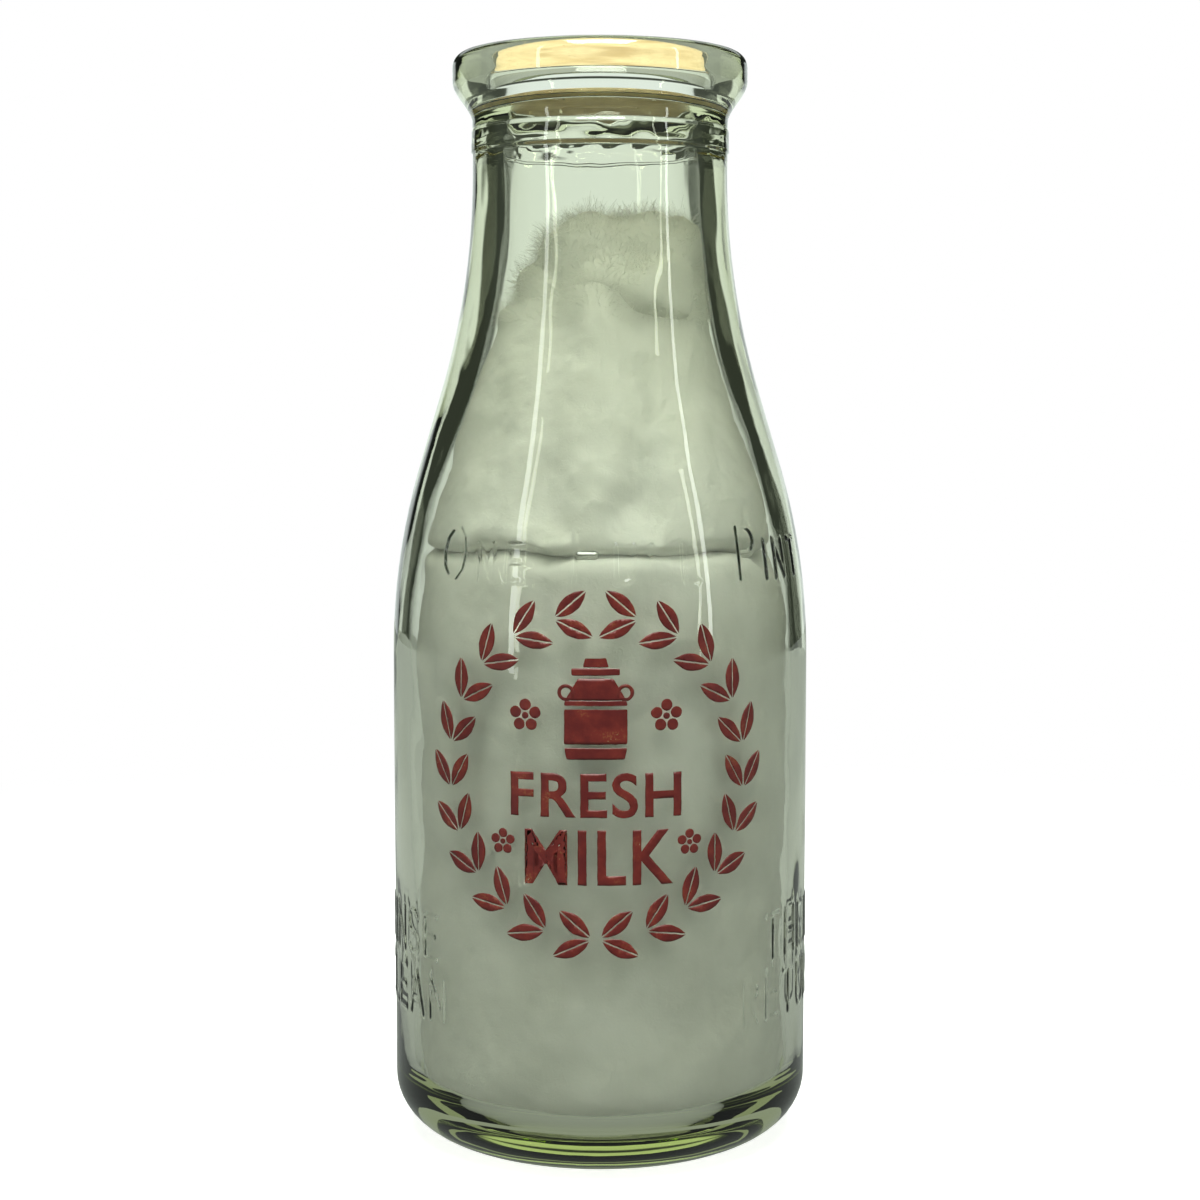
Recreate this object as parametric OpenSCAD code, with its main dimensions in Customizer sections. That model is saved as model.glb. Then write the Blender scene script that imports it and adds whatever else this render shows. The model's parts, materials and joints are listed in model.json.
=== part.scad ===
// Glass pint milk bottle with a fired red print, a pressed-in card disc in its
// mouth and cotton wadding packed inside. Millimetres, +Z up, origin on the
// bottle's axis at the bearing ring, the printed front facing -Y.

/* [Bottle outside] */
// Diameter of the straight body
body_d = 79; // [68:0.5:96]
// Height over the lip
bottle_h = 205.5; // [170:0.5:250]
// Height at which the body starts to taper
shoulder_z = 92.5; // [70:0.5:100]
// Straight neck below the bead
neck_len = 9.2; // [6:0.1:14]
// Share of the taper's bend that is in the convex shoulder arc
shoulder_share = 0.474; // [0.3:0.002:0.7]
// How full the taper's two arcs are; at 1 no straight stretch is left between them
shoulder_ease = 0.975; // [0.6:0.005:0.995]

/* [Lip] */
// How far the bead stands out from the neck
bead_proud = 3.7; // [2.6:0.1:5]
// Height of the bead, from the neck to the lip
bead_h = 12.8; // [11:0.1:16]
// Height of the straight band at the bead's widest
bead_band = 2.6; // [1.5:0.1:4]
// Radius of the bead's rounded top edge
lip_round = 2.6; // [1.5:0.1:3.2]
// Width of the flat on top of the lip
lip_flat = 0.3; // [0.1:0.1:1]
// Size of the rounding inside the mouth's edge
mouth_round = 1.2; // [0.5:0.1:1.6]
// Height of the faint collar ring at the top of the neck
collar_h = 4.3; // [3:0.1:5]
// Plain neck between the collar ring and the bead
collar_drop = 1.4; // [1:0.1:2]
// How far the collar ring stands out
collar_step = 0.25; // [0.1:0.05:0.5]

/* [Glass thickness] */
// Wall of the body
body_wall = 3.4; // [2.5:0.1:5]
// Wall of the neck
neck_wall = 5.6; // [3.5:0.1:7]
// Width of the cap seat, the ledge that the card disc rests on
ledge_w = 3.3; // [2:0.1:4.5]
// Length of the narrow throat under the cap seat
throat_len = 2; // [1:0.1:4]
// Height over which the bore closes in to the throat
throat_ease = 8; // [5:0.1:9]
// How much the throat stands in from the neck's bore
throat_step = 0.7; // [0.3:0.1:1.5]
// Thickness of the glass floor above the push-up
floor_t = 5; // [3:0.1:8]

/* [Base] */
// Width of the rounded heel
heel_w = 14.4; // [8:0.1:16]
// Height of the rounded heel
heel_h = 11.8; // [8:0.1:14]
// Width of the flat bearing ring
bearing_w = 3.6; // [2:0.1:5]
// Depth of the push-up under the base
push_up = 2.6; // [1:0.1:4]
// Rounding of the inside corner, across
inner_heel_w = 11; // [6:0.1:14]
// Rounding of the inside corner, up
inner_heel_h = 8; // [5:0.1:12]

/* [Card disc] */
// Diameter of the card disc
disc_d = 41.3; // [34:0.1:50]
// Thickness of the card
disc_t = 1.2; // [0.8:0.1:1.8]
// Free space round the disc in its recess
disc_gap = 0.35; // [0.1:0.05:0.5]
// Depth of the cap seat below the lip
seat_depth = 8.7; // [6:0.1:10.5]
// Height of the recess's straight wall above the cap seat
recess_h = 2.6; // [2:0.1:3.5]
// Radius of the half-round finger flap
flap_r = 7; // [5:0.5:9]
// Width of the slit round the finger flap
slit = 0.3; // [0.2:0.05:0.6]

/* [Wadding] */
// Free space between the wadding and the glass
wad_gap = 0.4; // [0.3:0.05:1]
// Height of the joint between the two large wads above the start of the taper
wad_split_rise = 20.5; // [5:0.5:30]
// Depth of the upper wad's top below the cap seat
wad_drop = 34; // [30:0.5:45]
// Slope of the upper wad's top, falling to the left
wad_tilt = 14; // [0:1:20]
// Radius of the tuft that stands on the upper wad
tuft_r = 13; // [9:0.5:14]
// Depth of the tuft's crown below the cap seat
tuft_drop = 21; // [18:0.5:26]

/* [Red print] */
// Diameter of the printed wreath; the artwork inside it is printed to the same scale
print_d = 63.5; // [50:0.5:66]
// Height of the print's centre above the base
print_z = 74.7; // [60:0.1:80]
// Turn of the print's centre from straight ahead, to the left
print_turn = 1.1; // [0:0.1:5]
// Thickness of the fired enamel
enamel_t = 0.12; // [0.08:0.01:0.3]
// Number of leaf pairs in the wreath
leaf_pairs = 22; // [16:1:24]
// Length of a leaf
leaf_len = 7; // [5:0.1:8]
// Width of a leaf
leaf_w = 3; // [2:0.1:3.4]
// Cap height of the upper word
upper_cap = 8; // [5:0.1:9]
// Cap height of the lower word
lower_cap = 10; // [6:0.1:11]
// Height of the milk churn
churn_h = 18; // [12:0.1:19]

/* [Raised lettering] */
// How far the raised letters stand out of the glass
relief = 0.35; // [0.2:0.05:0.6]
// Cap height of the large letters on the shoulder
shoulder_cap = 9.3; // [6:0.1:10]
// Cap height of the small letters on the shoulder
shoulder_small = 6.5; // [4:0.1:7]
// Clear space between the letters on the shoulder
shoulder_space = 2.8; // [1:0.1:3]
// Turn of the shoulder lettering's middle from straight ahead, to the right
shoulder_turn = 12; // [0:1:20]
// Height of the shoulder lettering's foot line above the start of the taper
shoulder_rise = 16.5; // [12:0.1:20]
// Cap height of the letters near the base
base_cap = 8; // [5:0.1:9.6]
// Clear space between the letters near the base
base_space = 2; // [1:0.1:3]
// Height of the lower line near the base
base_line_z = 27.5; // [20:0.1:30]
// Spacing of the two lines near the base
base_pitch = 11; // [9:0.1:13]
// Turn of the lettering near the base away from the front
base_turn = 68; // [60:1:90]

/* [Hidden] */

$fn = 96;
body_r = body_d / 2;
disc_r = disc_d / 2;
recess_r = disc_r + disc_gap;
throat_r = recess_r - ledge_w;
bore_r = throat_r + throat_step;
neck_r = bore_r + neck_wall;
bead_r = neck_r + bead_proud;
mouth_r = bead_r - lip_round - lip_flat;
seat_z = bottle_h - seat_depth;
throat_z = seat_z - throat_len - throat_ease;
wad_split = shoulder_z + wad_split_rise;
bead_z = bottle_h - bead_h;
neck_z = bead_z - neck_len;
collar_z = bead_z - collar_drop;
floor_z = push_up + floor_t;
bearing_r = body_r - heel_w;
push_up_r = bearing_r - bearing_w;
inner_r = body_r - body_wall;
// Diameter of the wreath at which the artwork's own sizes hold
drawn_d = 63.5;
art = print_d / drawn_d;
arc_steps = 10;
// The hollow starts to taper this far below the outside
inner_lag = 1;

// ---- outlines -------------------------------------------------------------

// Points of an arc about c, from angle a to angle b
function arc(c, r, a, b, n = arc_steps) =
    [for (i = [0 : n]) let (t = a + (b - a) * i / n) c + r * [cos(t), sin(t)]];

// Points of a quarter ellipse about c, from angle a to angle b
function oval(c, rx, ry, a, b, n = arc_steps) =
    [for (i = [0 : n]) let (t = a + (b - a) * i / n) c + [rx * cos(t), ry * sin(t)]];

// Sum of the radii of the two arcs of a taper that goes in by dr over a height dz
function both_arcs(dr, dz) = shoulder_ease * (dr * dr + dz * dz) / (2 * dr);

// A flank that leaves a vertical wall of radius r_low at height z_low through a
// convex arc and reaches a vertical wall of radius r_high at z_high through a
// concave arc; the straight stretch between them is tangent to both arcs.
function flank(r_low, z_low, r_high, z_high) =
    let (
        arcs = both_arcs(r_low - r_high, z_high - z_low),
        arc_low = arcs * shoulder_share,
        arc_high = arcs - arc_low,
        c_low = [r_low - arc_low, z_low],
        c_high = [r_high + arc_high, z_high],
        span = c_high - c_low,
        lean = atan2(span[1], span[0]) - acos((arc_low + arc_high) / norm(span))
    )
    concat(arc(c_low, arc_low, 0, lean), arc(c_high, arc_high, 180 + lean, 180));

// Right half of the bottle's outside, from the axis underneath to the lip
function outside() = concat(
    [for (i = [0 : arc_steps]) let (r = push_up_r * i / arc_steps) [r, push_up * (1 - pow(r / push_up_r, 2))]],
    oval([bearing_r, heel_h], heel_w, heel_h, -90, 0),
    flank(body_r, shoulder_z, neck_r, neck_z),
    [[neck_r, collar_z - collar_h], [neck_r + collar_step, collar_z - collar_h + collar_step],
     [neck_r + collar_step, collar_z - collar_step], [neck_r, collar_z]],
    bead()
);

// The bead's sloping underside, its straight band and its rounded top
function bead() =
    let (
        band_top = bottle_h - lip_round,
        band_low = band_top - bead_band
    )
    concat(
        [for (i = [0 : arc_steps]) let (t = i / arc_steps)
            [neck_r + bead_proud * t * t * (3 - 2 * t), bead_z + (band_low - bead_z) * t]],
        arc([bead_r - lip_round, band_top], lip_round, 0, 90, 6)
    );

// Right half of the hollow, from the axis on the floor up to the throat
function hollow(gap = 0) = concat(
    [[0, floor_z + gap]],
    oval([inner_r - inner_heel_w, floor_z + inner_heel_h + gap], inner_heel_w - gap, inner_heel_h, -90, 0),
    flank(inner_r - gap, shoulder_z - inner_lag, bore_r - gap, neck_z)
);

// Right half of everything inside the glass: hollow, throat, cap seat and mouth
function inside() = concat(
    hollow(),
    [[bore_r, throat_z], [throat_r, throat_z + throat_ease], [throat_r, seat_z],
     [recess_r, seat_z], [recess_r, seat_z + recess_h]],
    oval([mouth_r, bottle_h - mouth_round], -mouth_round, mouth_round, 0, 90, 4),
    [[mouth_r, bottle_h + 1], [0, bottle_h + 1]]
);

// Right half of the body and shoulder, standing out by lift
function skin(lift) = concat(
    [[0, heel_h], [body_r + lift, heel_h]],
    [for (p = flank(body_r, shoulder_z, neck_r, neck_z)) p + [lift, 0]],
    [[0, neck_z]]
);

module spin(points) {
    rotate_extrude() polygon(points);
}

// ---- lettering ------------------------------------------------------------

// Every letter is drawn in a box of cap height h with strokes t wide
function wide(c, h, t) = c == "I" ? t : c == "M" ? h * 0.82 : c == " " ? h * 0.3 : h * 0.58;

module slant(x0, x1, y0, y1, t) {
    polygon([[x0, y0], [x0 + t, y0], [x1 + t, y1], [x1, y1]]);
}

module bow(r, t) {
    difference() {
        circle(r);
        circle(r - t);
    }
}

module letter(c, h, t) {
    w = wide(c, h, t);
    mid = (h - t) / 2;
    cap_r = (h + t) / 4;
    if (search(c, "EFHIKLNPRMT") != []) {
        translate([c == "T" ? (w - t) / 2 : 0, 0])
            square([t, h]);
    }
    if (search(c, "HNM") != []) {
        translate([w - t, 0])
            square([t, h]);
    }
    if (search(c, "EFT") != []) {
        translate([0, h - t])
            square([w, t]);
    }
    if (search(c, "EL") != []) {
        square([w, t]);
    }
    if (search(c, "EFH") != []) {
        translate([0, mid])
            square([c == "H" ? w : w * 0.85, t]);
    }
    if (c == "N") {
        slant(w - t * 1.1, t * 0.1 - t * 0.2, 0, h, t);
    }
    if (c == "M") {
        slant(w / 2 - t * 0.5, t * 0.1, h * 0.3, h, t);
        slant(w / 2 - t * 0.5, w - t * 1.1, h * 0.3, h, t);
    }
    if (c == "K") {
        slant(t * 0.6, w - t, mid, h, t);
        slant(w - t, t * 0.9, 0, mid + t, t);
    }
    if (c == "A") {
        slant(0, w / 2 - t / 2, 0, h, t);
        slant(w - t, w / 2 - t / 2, 0, h, t);
        translate([w * 0.2, h * 0.24])
            square([w * 0.6, t * 0.8]);
    }
    if (c == "P" || c == "R") {
        translate([w - cap_r, h - cap_r])
            intersection() {
                bow(cap_r, t);
                translate([0, -h])
                    square([h, 2 * h]);
            }
        for (y = [mid, h - t])
            translate([0, y])
                square([w - cap_r, t]);
    }
    if (c == "R") {
        slant(w - t, t, 0, mid + t * 0.5, t);
    }
    if (c == "S") {
        translate([w / 2, h - cap_r])
            difference() {
                bow(cap_r, t);
                translate([0, -h])
                    square([h, h]);
            }
        translate([w / 2, cap_r])
            difference() {
                bow(cap_r, t);
                translate([-h, 0])
                    square([h, h]);
            }
    }
    if (c == "O" || c == "U" || c == "C") {
        for (x = c == "C" ? [0] : [0, w - t])
            translate([x, w / 2])
                square([t, c == "U" ? h - w / 2 : h - w]);
        for (top = c == "U" ? [0] : [0, 1])
            translate([w / 2, top ? h - w / 2 : w / 2])
                intersection() {
                    bow(w / 2, t);
                    translate([-h, top ? 0 : -h])
                        square([2 * h, h]);
                }
    }
}

// Stands a flat shape on the bottle: turn degrees from the front, foot at z
module on_wall(turn, z) {
    rotate([0, 0, turn])
        translate([0, -body_r + 6, z])
            rotate([90, 0, 0])
                linear_extrude(8)
                    children();
}

// Caps of each letter in a line, for a large first letter of each word
function cap_of(s, i, big, small) = i == 0 || s[i - 1] == " " ? big : small;

// Length of a line up to and including letter i and the space after it
function run(s, i, big, small, space) =
    i < 0 ? 0 : run(s, i - 1, big, small, space) + space
        + wide(s[i], cap_of(s, i, big, small), stroke(cap_of(s, i, big, small)));

function stroke(cap) = cap * 0.17;

// A line of letters wrapped round the body, centred on turn
module line_on_wall(s, turn, z, big, small, space) {
    full = run(s, len(s) - 1, big, small, space) - space;
    for (i = [0 : len(s) - 1]) {
        cap = cap_of(s, i, big, small);
        w = wide(s[i], cap, stroke(cap));
        centre = run(s, i, big, small, space) - space - w / 2 - full / 2;
        if (s[i] != " ")
            on_wall(turn + centre / body_r * 180 / PI, z)
                translate([-w / 2, 0])
                    letter(s[i], cap, stroke(cap));
    }
}

// ---- glass ----------------------------------------------------------------

module raised_letters() {
    intersection() {
        spin(skin(relief));
        union() {
            line_on_wall("ONE FULL PINT", shoulder_turn, shoulder_z + shoulder_rise,
                         shoulder_cap, shoulder_small, shoulder_space);
            for (side = [-1, 1]) {
                line_on_wall(side < 0 ? "RINSE" : "THEN", side * base_turn, base_line_z + base_pitch,
                             base_cap, base_cap, base_space);
                line_on_wall(side < 0 ? "CLEAN" : "RETURN", side * base_turn, base_line_z,
                             base_cap, base_cap, base_space);
            }
        }
    }
}

module glass_bottle() {
    color([0.78, 0.86, 0.78, 0.45])
        difference() {
            union() {
                spin(concat(outside(), [[0, bottle_h]]));
                raised_letters();
            }
            spin(inside());
        }
}

// ---- red print ------------------------------------------------------------

module enamel() {
    color([0.42, 0.09, 0.07])
        intersection() {
            difference() {
                spin(skin(enamel_t));
                spin(skin(0));
            }
            children();
        }
}

// Puts a flat shape of the artwork at x round the body and z above the print's
// centre, all to the print's scale
module at_print(x, z) {
    on_wall(-print_turn + art * x / body_r * 180 / PI, print_z + art * z)
        scale(art)
            children();
}

module leaf() {
    bulge = (pow(leaf_len / 2, 2) + pow(leaf_w / 2, 2)) / leaf_w;
    intersection_for (side = [-1, 1])
        translate([0, side * (bulge - leaf_w / 2)])
            circle(bulge);
}

module print_wreath() {
    ring_r = drawn_d / 2 - leaf_len * 0.42;
    enamel()
        for (i = [0 : leaf_pairs - 1]) {
            turn = (i + 0.5) * 360 / leaf_pairs;
            lead = turn < 180 ? -1 : 1;
            for (side = [-1, 1]) {
                reach = ring_r + side * leaf_w * 0.72;
                at_print(reach * sin(turn), reach * cos(turn))
                    rotate(-turn + lead * side * 32)
                        leaf();
            }
        }
}

module churn_outline() {
    w = churn_h * 0.62;
    neck_w = w * 0.56;
    polygon([
        [-w * 0.46, 0], [w * 0.46, 0], [w / 2, churn_h * 0.04], [w / 2, churn_h * 0.56],
        [neck_w / 2, churn_h * 0.74], [neck_w / 2, churn_h * 0.8], [neck_w * 0.68, churn_h * 0.86],
        [neck_w * 0.68, churn_h * 0.9], [neck_w * 0.3, churn_h * 0.94], [neck_w * 0.3, churn_h],
        [-neck_w * 0.3, churn_h], [-neck_w * 0.3, churn_h * 0.94], [-neck_w * 0.68, churn_h * 0.9],
        [-neck_w * 0.68, churn_h * 0.86], [-neck_w / 2, churn_h * 0.8], [-neck_w / 2, churn_h * 0.74],
        [-w / 2, churn_h * 0.56], [-w / 2, churn_h * 0.04]
    ]);
}

module print_churn() {
    w = churn_h * 0.62;
    line = churn_h * 0.035;
    enamel()
        at_print(0, drawn_d * 0.05)
            union() {
                difference() {
                    churn_outline();
                    for (y = [0.12, 0.5])
                        translate([-w, churn_h * y])
                            square([2 * w, line]);
                    translate([-w, churn_h * 0.83])
                        square([2 * w, line * 0.8]);
                    translate([-w * 0.34, churn_h * 0.2])
                        square([line * 1.4, churn_h * 0.24]);
                }
                for (side = [-1, 1])
                    translate([side * w * 0.46, churn_h * 0.66])
                        bow(churn_h * 0.08, line);
            }
}

module blossom(r) {
    for (i = [0 : 4])
        rotate(i * 72)
            translate([0, r * 0.62])
                circle(r * 0.34);
    circle(r * 0.2);
}

module print_blossoms() {
    r = churn_h * 0.17;
    enamel()
        for (side = [-1, 1]) {
            at_print(side * drawn_d * 0.2, drawn_d * 0.17)
                blossom(r);
            at_print(side * drawn_d * 0.27, -drawn_d * 0.19)
                blossom(r * 0.8);
        }
}

module word(s, z, cap) {
    tall = art * cap;
    enamel()
        line_on_wall(s, -print_turn, print_z + art * z, tall, tall, tall * 0.2);
}

module print_upper_word() {
    word("FRESH", -drawn_d * 0.11, upper_cap);
}

module print_lower_word() {
    word("MILK", -drawn_d * 0.3, lower_cap);
}

// ---- card disc ------------------------------------------------------------

// The flap is a half disc; its fold lies across the middle of the card
module half_round(r, h) {
    intersection() {
        cylinder(h = h, r = r);
        translate([-2 * r, -2 * r, 0])
            cube([4 * r, 2 * r, h]);
    }
}

module card_disc() {
    color([0.72, 0.6, 0.42])
        translate([0, 0, seat_z])
            difference() {
                cylinder(h = disc_t, r = disc_r);
                translate([0, 0, -1])
                    half_round(flap_r + slit, disc_t + 2);
                translate([-flap_r - slit, -slit, -1])
                    cube([2 * (flap_r + slit), 2 * slit, disc_t + 2]);
            }
}

module push_flap() {
    color([0.68, 0.56, 0.38])
        translate([0, 0, seat_z])
            half_round(flap_r, disc_t);
}

// ---- wadding --------------------------------------------------------------

tuft_z = seat_z - tuft_drop - tuft_r;
tuft_x = bore_r - tuft_r - wad_gap;

// Everything inside the glass, less the gap, up to the neck
module packed_space() {
    spin(concat(hollow(wad_gap), [[bore_r - wad_gap, throat_z], [0, throat_z]]));
}

// A block above the sloping top of the upper wad, raised by lift
module above_wad(lift = 0) {
    translate([0, 0, seat_z - wad_drop + lift])
        rotate([0, -wad_tilt, 0])
            translate([-body_d, -body_d, 0])
                cube([2 * body_d, 2 * body_d, bottle_h]);
}

module slab(z_low, z_high) {
    translate([-body_d, -body_d, z_low])
        cube([2 * body_d, 2 * body_d, z_high - z_low]);
}

module wadding_lower() {
    color([0.93, 0.93, 0.89])
        intersection() {
            packed_space();
            slab(0, wad_split);
        }
}

module wadding_upper() {
    color([0.95, 0.95, 0.92])
        difference() {
            intersection() {
                packed_space();
                slab(wad_split + wad_gap, bottle_h);
            }
            above_wad();
        }
}

module wadding_tuft() {
    color([0.97, 0.97, 0.95])
        intersection() {
            packed_space();
            translate([tuft_x, 0, tuft_z])
                sphere(tuft_r);
            above_wad(wad_gap);
        }
}

glass_bottle();
print_wreath();
print_churn();
print_blossoms();
print_upper_word();
print_lower_word();
card_disc();
push_flap();
wadding_lower();
wadding_upper();
wadding_tuft();
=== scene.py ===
import json
import math
import random

import bmesh
import bpy
from mathutils import Matrix, Vector, noise


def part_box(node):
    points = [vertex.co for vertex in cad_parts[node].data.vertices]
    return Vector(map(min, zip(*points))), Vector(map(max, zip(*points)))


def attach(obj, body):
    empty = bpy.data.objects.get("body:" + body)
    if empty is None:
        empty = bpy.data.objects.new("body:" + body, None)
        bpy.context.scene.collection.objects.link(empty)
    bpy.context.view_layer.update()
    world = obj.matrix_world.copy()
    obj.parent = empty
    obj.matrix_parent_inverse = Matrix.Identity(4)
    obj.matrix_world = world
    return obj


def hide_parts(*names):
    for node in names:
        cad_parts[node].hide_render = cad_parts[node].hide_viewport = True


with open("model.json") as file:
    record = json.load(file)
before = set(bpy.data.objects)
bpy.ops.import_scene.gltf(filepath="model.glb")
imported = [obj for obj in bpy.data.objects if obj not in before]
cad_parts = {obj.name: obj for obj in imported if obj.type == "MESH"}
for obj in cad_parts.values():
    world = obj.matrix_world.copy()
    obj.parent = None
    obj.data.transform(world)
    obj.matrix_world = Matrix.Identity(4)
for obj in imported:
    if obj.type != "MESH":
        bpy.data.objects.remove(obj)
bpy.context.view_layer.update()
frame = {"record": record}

mm = 0.001
scene = bpy.context.scene

# ---- Studio -----------------------------------------------------------------
# The bottle stands on a pale light table in front of a lit white panel, which has
# a second panel above it past a dark gap. The rest of the room is darker, which
# draws the dark edges in clear glass. Soft boxes stand overhead, left and right.


class Wire:
    """A socket that gives a value; sums and products of wires add Math nodes."""

    def __init__(self, socket):
        self.socket = socket
        self.tree = socket.id_data

    @staticmethod
    def node(tree, kind, settings=None, inputs=None, output=0):
        made = tree.nodes.new(kind)
        for name, value in (settings or {}).items():
            setattr(made, name, value)
        for name, value in (inputs or {}).items():
            if isinstance(value, Wire):
                tree.links.new(value.socket, made.inputs[name])
            else:
                made.inputs[name].default_value = value
        return Wire(made.outputs[output])

    def math(self, operation, *values):
        return Wire.node(self.tree, "ShaderNodeMath", {"operation": operation}, dict(enumerate(values)))

    def __add__(self, other):
        return self.math("ADD", self, other)

    def __radd__(self, other):
        return self.math("ADD", other, self)

    def __sub__(self, other):
        return self.math("SUBTRACT", self, other)

    def __rsub__(self, other):
        return self.math("SUBTRACT", other, self)

    def __mul__(self, other):
        return self.math("MULTIPLY", self, other)

    def __rmul__(self, other):
        return self.math("MULTIPLY", other, self)

    def __abs__(self):
        return self.math("ABSOLUTE", self)

    def step(self, low, high):
        """0 below low, 1 above high and smooth between; high may be the lower one."""
        settings = {"interpolation_type": "SMOOTHSTEP"}
        return Wire.node(self.tree, "ShaderNodeMapRange", settings,
                         {"Value": self, "From Min": low, "From Max": high})

    def blend(self, first, second):
        """Mixes two colours, with this wire as the share of the second."""
        return Wire.node(self.tree, "ShaderNodeMix", {"data_type": "RGBA"},
                         {0: self, 6: first, 7: second}, 2)


CAMERA_PLACE = (0, -0.451, 0.1425)
CAMERA_PITCH = 5.05

camera = bpy.data.objects.new("camera", bpy.data.cameras.new("camera"))
scene.collection.objects.link(camera)
scene.camera = camera
camera.data.lens = 70.8
camera.data.clip_start = 0.01
camera.location = CAMERA_PLACE
camera.rotation_euler = (math.radians(90 - CAMERA_PITCH), 0, 0)

# The panel and the room's sides are set by the angle round from straight behind,
# in degrees; the gap and the panel's top by the sine of the height above level.
PANEL_HALF = 24
PANEL_EDGE = 6
SIDE_START = 66
SIDE_EDGE = 20
GAP_FOOT = (0.165, 0.19)
GAP_HEAD = (0.28, 0.34)
PANEL_TOP = (0.7, 0.85)
ROOM_SHADE = (0.035, 0.042, 0.032, 1)
SIDE_SHADE = (0.21, 0.24, 0.21, 1)
PANEL_SHADE = (0.84, 0.93, 0.885, 1)
TABLE_FRONT = (0.27, 0.30, 0.27, 1)
TABLE_BACK = (0.50, 0.55, 0.50, 1)
TABLE_SIDE = (0.36, 0.40, 0.36, 1)
WHITE = (1, 1, 1, 1)
LAMP_TINT = (0.94, 1.0, 0.93)

world = bpy.data.worlds.new("studio")
scene.world = world
world.use_nodes = True
tree = world.node_tree
tree.nodes.clear()
way = Wire.node(tree, "ShaderNodeTexCoord")
apart = Wire.node(tree, "ShaderNodeSeparateXYZ", {}, {0: way})
way_x, way_y, way_z = (Wire(s) for s in apart.socket.node.outputs)
turn = abs(way_x.math("ARCTAN2", way_x, way_y)) * (180 / math.pi)
panel = 1 - turn.step(PANEL_HALF, PANEL_HALF + PANEL_EDGE)
sides = turn.step(SIDE_START, SIDE_START + SIDE_EDGE)
room = sides.blend(ROOM_SHADE, SIDE_SHADE)
gap = way_z.step(*GAP_FOOT) * (1 - way_z.step(*GAP_HEAD))
open_panel = panel * (1 - way_z.step(*PANEL_TOP)) * (1 - gap)
shade = open_panel.blend(room, PANEL_SHADE)
seen = Wire.node(tree, "ShaderNodeLightPath")
backdrop = seen.blend(shade, WHITE)
glow = Wire.node(tree, "ShaderNodeBackground", {}, {"Color": backdrop, "Strength": 1.0})
out = tree.nodes.new("ShaderNodeOutputWorld")
tree.links.new(glow.socket, out.inputs["Surface"])


def soft_box(name, place, target, width, length, watts):
    """A rectangular lamp that faces its target and that the camera doesn't see."""
    lamp = bpy.data.lights.new(name, "AREA")
    lamp.shape = "RECTANGLE"
    lamp.size = width
    lamp.size_y = length
    lamp.energy = watts
    lamp.color = LAMP_TINT
    holder = bpy.data.objects.new(name, lamp)
    scene.collection.objects.link(holder)
    holder.location = place
    aim = Vector(target) - Vector(place)
    holder.rotation_euler = aim.to_track_quat("-Z", "Y").to_euler()
    holder.visible_camera = False


soft_box("overhead", (0, -0.38, 0.86), (0, 0, 0.1), 0.5, 0.5, 12)
soft_box("left_strip", (-0.55, -0.5, 0.3), (0, 0, 0.12), 0.04, 0.6, 0.5)
soft_box("right_strip", (0.62, -0.35, 0.3), (0, 0, 0.12), 0.03, 0.5, 0.4)

TABLE_R = 1.1
BACK_FADE = (-0.1, 0.35)
SIDE_FADE = (0.12, 0.3)
SHADOW_FADE = (0.12, 0.45)
sheet = bmesh.new()
bmesh.ops.create_circle(sheet, cap_ends=True, segments=96, radius=TABLE_R)
table_mesh = bpy.data.meshes.new("light_table")
sheet.to_mesh(table_mesh)
sheet.free()
table_top = bpy.data.objects.new("light_table", table_mesh)
scene.collection.objects.link(table_top)


def new_material(name):
    material = bpy.data.materials.new(name)
    material.use_nodes = True
    material.node_tree.nodes.clear()
    return material, material.node_tree


# The camera sees plain white with a soft shadow near the bottle; the glass
# mirrors and bends the dimmer grey that the table shows to every other ray.
acrylic, tree = new_material("white_acrylic")
spot = Wire.node(tree, "ShaderNodeTexCoord", output="Object")
apart = Wire.node(tree, "ShaderNodeSeparateXYZ", {}, {0: spot})
across, depth = (Wire(s) for s in apart.socket.node.outputs[:2])
reach = Wire.node(tree, "ShaderNodeVectorMath", {"operation": "LENGTH"}, {0: spot}, "Value")
middle = depth.step(*BACK_FADE).blend(TABLE_FRONT, TABLE_BACK)
grey = abs(across).step(*SIDE_FADE).blend(middle, TABLE_SIDE)
dim = Wire.node(tree, "ShaderNodeEmission", {}, {"Color": grey})
lit = Wire.node(tree, "ShaderNodeEmission", {}, {"Color": WHITE, "Strength": 1.0})
matt = Wire.node(tree, "ShaderNodeBsdfDiffuse", {}, {"Color": (0.9, 0.9, 0.9, 1)})
faint = Wire.node(tree, "ShaderNodeEmission", {}, {"Color": WHITE, "Strength": 0.8})
near = Wire.node(tree, "ShaderNodeAddShader", {}, {0: matt, 1: faint})
plain = Wire.node(tree, "ShaderNodeMixShader", {}, {0: reach.step(*SHADOW_FADE), 1: near, 2: lit})
seen = Wire.node(tree, "ShaderNodeLightPath")
top = Wire.node(tree, "ShaderNodeMixShader", {}, {0: seen, 1: dim, 2: plain})
out = tree.nodes.new("ShaderNodeOutputMaterial")
tree.links.new(top.socket, out.inputs["Surface"])
table_mesh.materials.append(acrylic)

scene.view_settings.view_transform = "Standard"
scene.cycles.use_denoising = True
scene.cycles.max_bounces = 24
scene.cycles.transmission_bounces = 20
scene.cycles.transparent_max_bounces = 16

# ---- Glass bottle -----------------------------------------------------------
# One piece of pressed and blown soda glass with a pale green tint: push-up, heel,
# body, shoulder, neck, collar, bead and cap seat are a single moulding. Its wall
# varies a little in thickness, and its lettering is raised.

glass_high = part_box("glass_bottle")[1]
disc_low, disc_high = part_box("card_disc")
lip_mount = next(m for m in frame["record"]["mounts"] if m["name"] == "lip")

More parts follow.
